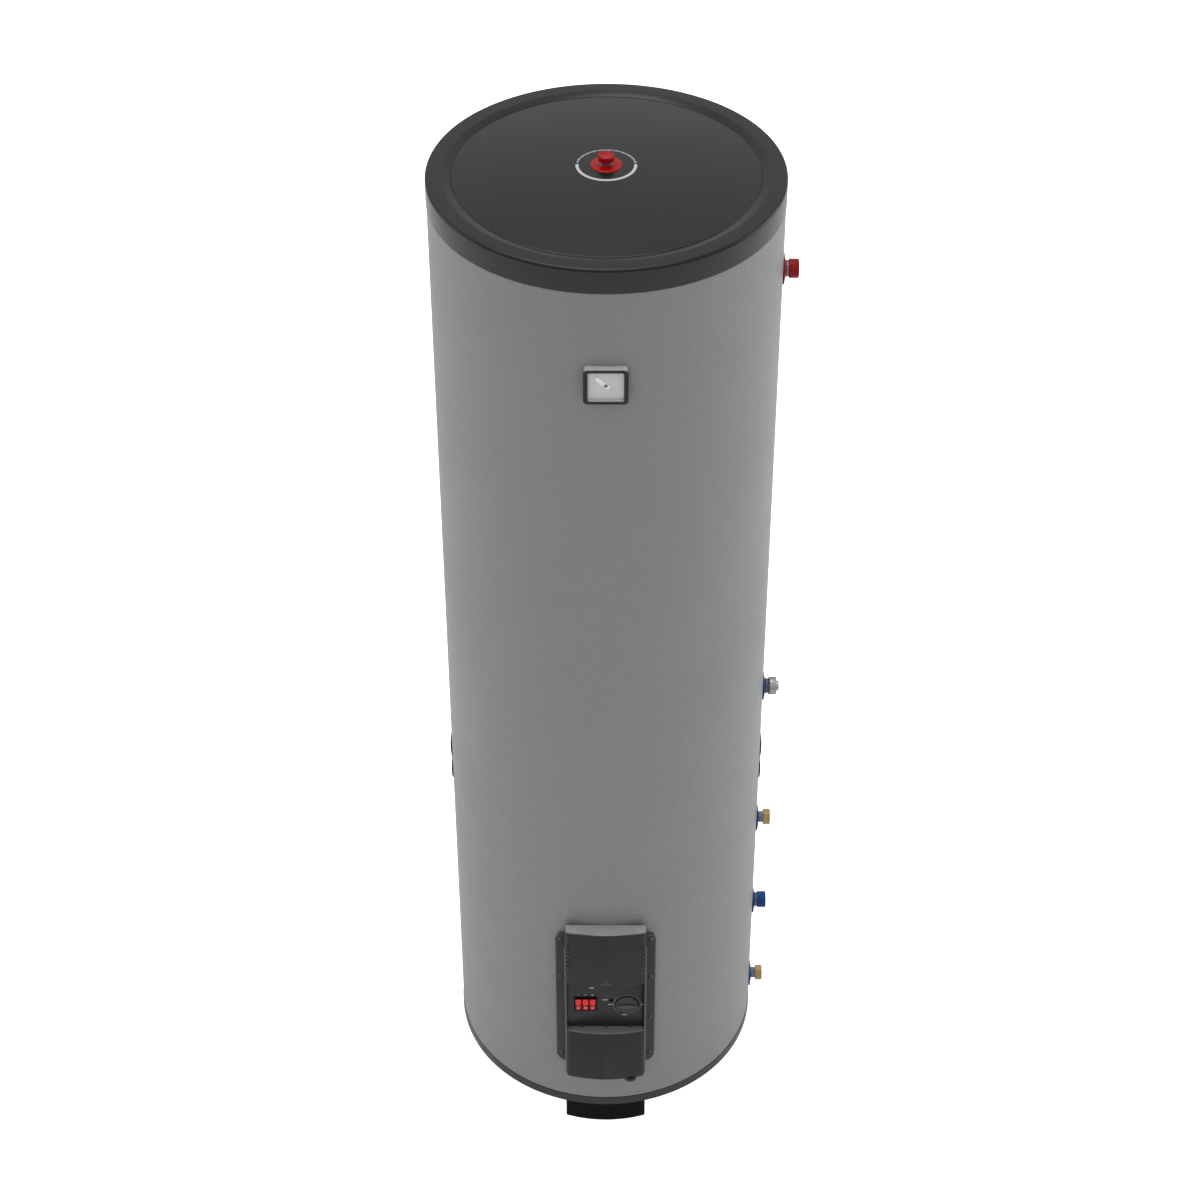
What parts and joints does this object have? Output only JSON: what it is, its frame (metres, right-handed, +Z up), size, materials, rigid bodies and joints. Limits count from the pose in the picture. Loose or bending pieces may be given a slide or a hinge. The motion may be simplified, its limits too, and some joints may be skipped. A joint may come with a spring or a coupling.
{
  "type": "tank water heater",
  "caption": "Floor-standing cylindrical tank water heater: grey insulated jacket, dark lid, side pipe connections, dial thermometer and front control housing with switches and knob.",
  "frame": {"origin": "centre of the footprint's box on the floor, under the feet", "axes": "+Z up, -Y to the front with the controls, +X to the side with the pipe connections"},
  "size_m": [0.5922, 0.5896, 2.0005],
  "materials": {
    "painted_steel": "fine hammered grey paint, satin",
    "lid_plastic": "satin dark grey moulding",
    "housing_plastic": "satin near-black grey moulding",
    "bare_steel": "bare steel",
    "black_steel": "black paint, satin",
    "black_rubber": "black, matt",
    "insulation": "foamed in place, hidden",
    "enamelled_steel": "glass enamel inside, hidden",
    "stainless": "stainless, turned",
    "magnesium": "cast, matt",
    "red_plastic": "red, satin gloss",
    "blue_plastic": "blue, satin gloss",
    "brass": "turned brass",
    "gauge_face": "silver-grey printed dial",
    "white_plastic": "white moulding",
    "clear_plastic": "clear window"
  },
  "bodies": {
    "heater": {"outer_jacket": "painted_steel", "top_lid": "lid_plastic", "bottom_trim_ring": "housing_plastic", "bottom_pan": "bare_steel", "foot_front": "black_steel", "foot_rear_right": "black_steel", "foot_rear_left": "black_steel", "hand_grip_right": "black_rubber", "hand_grip_left": "black_rubber", "foam_insulation": "insulation", "inner_tank": "enamelled_steel", "heat_exchanger_coil": "bare_steel", "flange_gasket": "black_rubber", "element_flange": "bare_steel", "heating_element_1": "stainless", "heating_element_2": "stainless", "heating_element_3": "stainless", "anode_rod": "magnesium", "sensor_pocket": "stainless", "hot_outlet_collar": "red_plastic", "circulation_collar": "blue_plastic", "coil_inlet_collar": "blue_plastic", "cold_inlet_collar": "blue_plastic", "coil_outlet_collar": "blue_plastic", "hot_outlet_cap": "red_plastic", "cold_inlet_cap": "blue_plastic", "coil_inlet_cap": "brass", "coil_outlet_cap": "brass", "circulation_plug": "stainless", "top_outlet_collar": "red_plastic", "top_outlet_cap": "red_plastic", "thermometer_case": "housing_plastic", "thermometer_dial": "gauge_face", "thermometer_lens": "clear_plastic", "thermometer_probe": "brass", "housing_frame": "housing_plastic", "housing_screw_1": "black_steel", "housing_screw_2": "black_steel", "housing_screw_3": "black_steel", "housing_screw_4": "black_steel", "housing_screw_5": "black_steel", "housing_screw_6": "black_steel", "housing_screw_7": "black_steel", "housing_screw_8": "black_steel", "upper_cover": "housing_plastic", "lower_cover": "housing_plastic", "control_panel": "housing_plastic", "switch_frame": "black_rubber", "thermostat_body": "white_plastic", "thermal_cutout": "black_rubber", "terminal_block": "white_plastic", "cable_gland": "black_rubber"},
    "rocker_1": {"rocker_switch_1": "red_plastic"},
    "rocker_2": {"rocker_switch_2": "red_plastic"},
    "rocker_3": {"rocker_switch_3": "red_plastic"},
    "knob": {"thermostat_knob": "housing_plastic"},
    "reset": {"reset_button": "red_plastic"},
    "pointer": {"thermometer_pointer": "white_plastic"}
  },
  "joints": [
    {"name": "rocker_1_tilt", "type": "hinge", "parent": "heater", "child": "rocker_1", "pos_m": [-0.06245, -0.27165, 0.394], "axis": [-1, 0, 0], "range_deg": [0, 10]},
    {"name": "rocker_2_tilt", "type": "hinge", "parent": "heater", "child": "rocker_2", "pos_m": [-0.04945, -0.27165, 0.394], "axis": [-1, 0, 0], "range_deg": [0, 10]},
    {"name": "rocker_3_tilt", "type": "hinge", "parent": "heater", "child": "rocker_3", "pos_m": [-0.03645, -0.27165, 0.394], "axis": [-1, 0, 0], "range_deg": [0, 10]},
    {"name": "knob_turn", "type": "hinge", "parent": "heater", "child": "knob", "pos_m": [0.02675, -0.27465, 0.392], "axis": [0, 1, 0], "range_deg": [-45, 225]},
    {"name": "reset_press", "type": "slide", "parent": "heater", "child": "reset", "axis": [0, 1, 0], "range_m": [0, 0.0025], "stiffness_N_per_m": 300, "springref_m": -0.002},
    {"name": "pointer_sweep", "type": "hinge", "parent": "heater", "child": "pointer", "pos_m": [-0.01275, -0.27125, 1.7675], "axis": [0, 1, 0], "range_deg": [-84, 180]}
  ]
}
